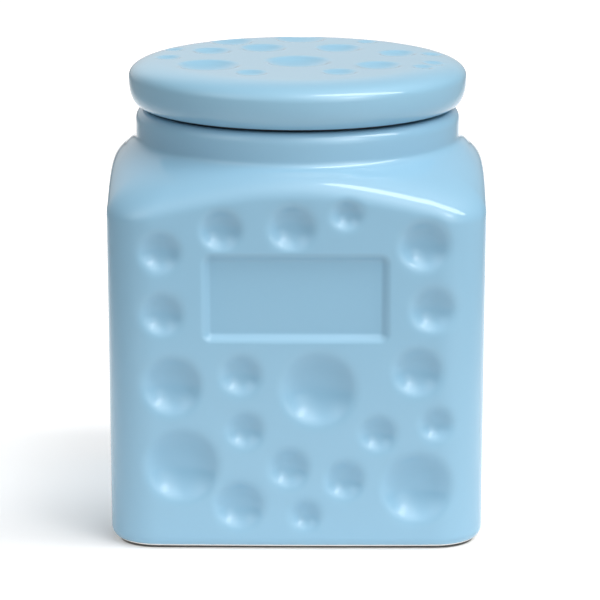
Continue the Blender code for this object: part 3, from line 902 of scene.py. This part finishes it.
LID_UNDERSIDE = RIM_HEIGHT + LID_GAP
LID_TOP = LID_UNDERSIDE + LID_HEIGHT
LID_WIDEST = LID_UNDERSIDE + LID_WIDEST_SHARE * LID_HEIGHT
LID_RADIUS = NECK_RADIUS + LID_OVERHANG
LID_FOOT_RADIUS = NECK_RADIUS - LID_FOOT_INSET
LID_FLAT_RADIUS = LID_RADIUS - LID_TOP_ROUNDING
LID_CEILING = LID_TOP - LID_MIDDLE_THICKNESS
SEAL_TOP = RIM_HEIGHT + FIT_GAP + SEAL_FLANGE
SEAL_SEAT = SEAL_TOP + FIT_GAP
SEAL_FLANGE_RADIUS = NECK_RADIUS - SEAL_FLANGE_INSET
SEAL_LIP_RADIUS = MOUTH_RADIUS - FIT_GAP
SEAL_OUTER = SEAL_LIP_RADIUS - SEAL_LIP_REACH
SEAL_INNER = SEAL_OUTER - SEAL_SLEEVE
SEAL_BOTTOM = RIM_HEIGHT + FIT_GAP - SEAL_LENGTH
PLUG_RADIUS = SEAL_INNER - FIT_GAP
PLUG_BOTTOM = SEAL_BOTTOM - FIT_GAP - PLUG_BEAD_HEIGHT
LID_HOLLOW_RADIUS = PLUG_RADIUS - PLUG_WALL


def round_patch(radius, height, half_cells):
    """A round patch of four-sided faces: its points, its faces and its border in order."""
    steps = np.arange(-half_cells, half_cells + 1)
    across, along = np.meshgrid(steps, steps, indexing="ij")
    reach = np.maximum(abs(across), abs(along))
    safe = np.maximum(reach, 1)
    turn = np.where(abs(across) >= abs(along),
                    np.where(across >= 0, 0.0, 4.0) + np.sign(across) * along / safe,
                    np.where(along >= 0, 2.0, 6.0) - np.sign(along) * across / safe)
    turn = turn * math.pi / 4.0
    distance = radius * reach / half_cells
    points = np.stack([distance * np.cos(turn), distance * np.sin(turn),
                       np.full(distance.shape, height)], axis=-1).reshape(-1, 3)
    number = np.arange(points.shape[0]).reshape(reach.shape)
    faces = np.stack([number[:-1, :-1], number[1:, :-1], number[1:, 1:], number[:-1, 1:]],
                     axis=-1).reshape(-1, 4).tolist()
    border = number[reach == half_cells]
    border = border[np.argsort(turn[reach == half_cells] % (2.0 * math.pi), kind="stable")]
    return points, faces, border


def lid_profile():
    """The lid's section from the border of its flat top, outside and underneath."""
    profile = arc((LID_FLAT_RADIUS, LID_TOP), (LID_RADIUS, LID_WIDEST),
                  steps=26, start_upright=False, power=LID_EDGE_POWER)
    profile += arc((LID_RADIUS, LID_WIDEST), (LID_FOOT_RADIUS, LID_UNDERSIDE),
                   steps=18, start_upright=True, power=LID_EDGE_POWER)
    soft = LID_SOFTNESS
    seat = SEAL_FLANGE_RADIUS + FIT_GAP
    bead = PLUG_RADIUS + PLUG_BEAD_REACH
    groove = SEAL_BOTTOM - FIT_GAP
    corners = [(LID_FOOT_RADIUS, LID_UNDERSIDE, 0.0), (seat, LID_UNDERSIDE, soft / 2.0),
               (seat, SEAL_SEAT, soft / 2.0), (PLUG_RADIUS, SEAL_SEAT, soft),
               (PLUG_RADIUS, groove, soft), (bead, groove, soft),
               (bead, PLUG_BOTTOM, PLUG_BEAD_ROUNDING),
               (LID_HOLLOW_RADIUS, PLUG_BOTTOM, PLUG_INNER_ROUNDING),
               (LID_HOLLOW_RADIUS, LID_CEILING, LID_CEILING_ROUNDING),
               (LID_HOLLOW_RADIUS - LID_CEILING_BORDER, LID_CEILING, 0.0)]
    return profile + rounded(corners, steps=6)[1:]


def make_lid_blank():
    points, faces, border = round_patch(LID_FLAT_RADIUS, LID_TOP, HALF_PATCH)
    columns = len(border)
    turns = even_turns(columns)
    rings = [border]
    for radius, height in lid_profile():
        rings.append(np.arange(columns) + len(points))
        points = np.concatenate([points, turned_ring(radius, height, turns)])
    faces += join_rings(rings[::-1])
    faces.append(rings[-1][::-1].tolist())
    print("lid blank:", columns, "columns and", len(rings), "rings")
    return add_mesh("glazed_lid", points, faces)


# %% Make the lid
def lid_tree():
    tree, entry, size = start_tree("turned_lid", lid_dimple_sizes)
    skin = press_dimples(tree, entry, entry.outputs["Geometry"], size)
    end_tree(tree, entry, push_in(tree, skin))
    return tree


lid_dimples = make_table("lid_dimples", [
    (np.array((LID_RADIUS * x, LID_RADIUS * y, LID_TOP + LID_RADIUS)),
     np.array((0.0, 0.0, -1.0)), LID_DIMPLE_RADIUS * size) for x, y, size in LID_DIMPLES])
glazed_lid = finished_mesh(make_lid_blank(), lid_tree(), {
    **lid_dimple_sizes, "Material": lid_glaze, "Dimple table": lid_dimples,
    "Dimples": len(LID_DIMPLES)})
bpy.data.objects.remove(lid_dimples, do_unlink=True)
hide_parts("lid")
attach(glazed_lid, "lid_set")

# %% [markdown]
# ## The seal
#
# The seal is one moulded ring of silicone. Its thin flange, painted near black, gives the
# painted shade of the gap between lid and neck, and its two lips lie along the mouth when
# the lid is on. It is turned from a closed section, with each lip drawn as a soft wedge.

# %% Make the seal
SEAL_LIPS = 2
SEAL_LIP_THICKNESS = 1.1 * MM
SEAL_LIP_ROUNDING = 0.25 * MM
SEAL_SOFTNESS = 0.35 * MM
SEAL_COLUMNS = 256


def seal_section():
    flange_bottom = SEAL_TOP - SEAL_FLANGE
    soft = SEAL_SOFTNESS
    corners = [(SEAL_INNER, (SEAL_TOP + SEAL_BOTTOM) / 2.0, 0.0),
               (SEAL_INNER, SEAL_TOP, soft), (SEAL_FLANGE_RADIUS, SEAL_TOP, soft),
               (SEAL_FLANGE_RADIUS, flange_bottom, soft), (SEAL_OUTER, flange_bottom, soft)]
    pitch = SEAL_LENGTH / (SEAL_LIPS + 1)
    for lip in range(1, SEAL_LIPS + 1):
        tip = flange_bottom - pitch * lip
        corners += [(SEAL_OUTER, tip - SEAL_LIP_THICKNESS, soft),
                    (SEAL_LIP_RADIUS, tip, SEAL_LIP_ROUNDING),
                    (SEAL_OUTER, tip - 2.0 * SEAL_LIP_THICKNESS, soft)]
    corners += [(SEAL_OUTER, SEAL_BOTTOM, soft), (SEAL_INNER, SEAL_BOTTOM, soft)]
    return rounded(corners + [corners[0]], steps=4)[:-1]


def make_seal():
    section = seal_section()
    turns = even_turns(SEAL_COLUMNS)
    points = np.concatenate([turned_ring(radius, height, turns) for radius, height in section])
    rings = list(np.arange(len(points)).reshape(len(section), SEAL_COLUMNS))
    seal = add_mesh("silicone_seal", points, join_rings((rings + rings[:1])[::-1]))
    seal.data.materials.append(seal_silicone)
    seal.data.shade_smooth()
    print("seal:", len(section), "rings")
    return seal


silicone_seal = make_seal()
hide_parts("lid_seal")
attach(silicone_seal, "lid_set")

# %% [markdown]
# ## Studio
#
# The jar stands on plain white paper in a soft room. One long oval softbox, tilted and high
# on the right, makes the streaks along the lid's edge, the neck and the crease. The rest
# of the light is a handful of soft glows of the room. Each is brightest in its own
# direction and fades around it, and the small tight one makes the white specks in the
# dimples. Glaze mirrors the paper too, so the paper turns grey in front of the jar and at
# its sides, beyond the picture, and shines a little behind the jar to stay white there. A
# painted shadow darkens the paper under the foot, where hardly any light gets in.

# %% Floor, light and camera
FLOOR_REACH = 8.0
# The third tone is a painted shadow on the paper under the jar's foot
PAPER, FAR_PAPER, FOOT_PAINTED_SHADOW = 0.88, 0.35, 0.06
PAPER_ROUGHNESS = 0.9
GREY_FROM_FRONT, GREY_FROM_SIDE, GREY_FADE = 0.17, 0.16, 0.35
SHINE, SHINE_FROM, SHINE_FADE = 0.4, -0.10, 0.14
# How far inside the corner's edge the painted shadow under the foot starts, and how softly it
# fades
FOOT_PAINTED_SHADOW_INSET = 3.8 * MM
FOOT_PAINTED_SHADOW_FADE = 1.0 * MM
WHITE = (1.0, 1.0, 1.0, 1.0)
LIGHT_TARGET = (0.0, 0.0, 0.13)
CAMERA_TARGET = (0.0, 0.0, 0.0824)
CAMERA_DISTANCE = 1.464
CAMERA_AZIMUTH, CAMERA_ELEVATION = 0.45, 13.0
CAMERA_LENS, CAMERA_SENSOR, CAMERA_SHIFT = 219.6, 36.0, 0.0041
ROOM_GLOWS = (
    # azimuth and elevation in degrees, strength, and how tightly it gathers
    (36.0, 42.0, 2.3, 16.0),
    (44.0, 36.0, 5.0, 120.0),
    (30.0, 66.0, 2.1, 16.0),
    (110.0, 65.0, 1.0, 12.0),
    (305.0, 38.0, 1.55, 12.0),
    (0.0, 28.0, 0.5, 6.0),
    (38.0, 10.0, 1.5, 16.0),
    (180.0, 5.0, 0.58, 5.0),
    (225.0, 5.0, 0.3, 5.0),
    (200.0, 25.0, 0.5, 16.0),
)


def paint_floor():
    """White paper that turns grey out of the picture, with a painted shadow under the jar's
    foot.
    """
    material, tree, shader = new_material("white_floor")
    parts = tree.nodes.new("ShaderNodeSeparateXYZ")
    tree.links.new(tree.nodes.new("ShaderNodeTexCoord").outputs["Object"],
                   parts.inputs["Vector"])
    x, y = Rule(tree, parts.outputs["X"]), Rule(tree, parts.outputs["Y"])
    front = smooth_share((-1.0 * y - GREY_FROM_FRONT) / GREY_FADE)
    side = smooth_share((x.through("ABSOLUTE") - GREY_FROM_SIDE) / GREY_FADE)
    grey = most(front, side)
    flat = HALF_WIDTH - CORNER_RADIUS
    past_x, past_y = (most(way.through("ABSOLUTE") - flat, 0.0) for way in (x, y))
    reach = (past_x * past_x + past_y * past_y).through("SQRT")
    # Painted shadow: the paper's colour is darkened under the foot's edge
    painted_foot_shadow = smooth_share((CORNER_RADIUS - FOOT_PAINTED_SHADOW_INSET - reach) / FOOT_PAINTED_SHADOW_FADE)
    paper = mix_colours(tree, grey, (PAPER,) * 3, (FAR_PAPER,) * 3)
    tree.links.new(mix_colours(tree, painted_foot_shadow, paper, (FOOT_PAINTED_SHADOW,) * 3),
                   shader.inputs["Base Color"])
    shader.inputs["Roughness"].default_value = PAPER_ROUGHNESS
    shader.inputs["Specular IOR Level"].default_value = 0.0
    shader.inputs["Emission Color"].default_value = WHITE
    behind = smooth_share((y - SHINE_FROM) / SHINE_FADE)
    feed(tree, SHINE * behind * (1.0 - grey), shader.inputs["Emission Strength"])
    return material


def add_floor():
    corners = [(FLOOR_REACH * x, FLOOR_REACH * y, 0.0)
               for x, y in ((-1, -1), (1, -1), (1, 1), (-1, 1))]
    floor = add_mesh("floor", corners, [(0, 1, 2, 3)])
    floor.data.materials.append(paint_floor())


def direction(azimuth, elevation):
    """A way out of the jar: azimuth from the front towards the right, both in degrees."""
    a, e = math.radians(azimuth), math.radians(elevation)
    return np.array((math.sin(a) * math.cos(e), -math.cos(a) * math.cos(e), math.sin(e)))


def place_and_aim(item, target, distance, azimuth, elevation):
    """Sets an item at a distance from a target, in one direction, and turns it to face it."""
    item.location = np.array(target) + distance * direction(azimuth, elevation)
    away = item.location - Vector(target)
    item.rotation_euler = away.to_track_quat("Z", "Y").to_euler()


def add_softbox(name, azimuth, elevation, distance, across, along, turn, radiance):
    """An oval softbox that faces the jar, turned about its own axis by some degrees."""
    light = bpy.data.lights.new(name, "AREA")
    light.shape = "ELLIPSE"
    light.size, light.size_y = across, along
    light.energy = (0.5 * math.pi) ** 2 * across * along * radiance
    box = bpy.data.objects.new(name, light)
    bpy.context.scene.collection.objects.link(box)
    place_and_aim(box, LIGHT_TARGET, distance, azimuth, elevation)
    box.rotation_euler.rotate_axis("Z", math.radians(turn))


def glow(tree, where, toward, power):
    """A soft bright patch of the room: 1 towards one way and fading around it."""
    near = Rule(tree, vector_math(tree, "DOT_PRODUCT", where, tuple(toward), result="Value"))
    return most(near, 0.0) ** power


def set_room():
    world = bpy.data.worlds.new("room")
    bpy.context.scene.world = world
    world.use_nodes = True
    tree = world.node_tree
    where = tree.nodes.new("ShaderNodeTexCoord").outputs["Generated"]
    level = 0.0
    for azimuth, elevation, strength, power in ROOM_GLOWS:
        level = strength * glow(tree, where, direction(azimuth, elevation), power) + level
    feed(tree, level, tree.nodes["Background"].inputs["Strength"])
    feed(tree, WHITE, tree.nodes["Background"].inputs["Color"])


def add_camera():
    camera = bpy.data.cameras.new("camera")
    camera.sensor_width = CAMERA_SENSOR
    camera.lens = CAMERA_LENS
    camera.shift_x = CAMERA_SHIFT
    item = bpy.data.objects.new("camera", camera)
    bpy.context.scene.collection.objects.link(item)
    place_and_aim(item, CAMERA_TARGET, CAMERA_DISTANCE, CAMERA_AZIMUTH, CAMERA_ELEVATION)
    bpy.context.scene.camera = item
    print("camera at", [round(value, 3) for value in item.location])


add_floor()
set_room()
add_softbox("key", azimuth=67.0, elevation=55.5, distance=1.1, across=1.08, along=0.34,
            turn=-62.0, radiance=6.7)
add_camera()
bpy.context.scene.view_settings.view_transform = "Standard"
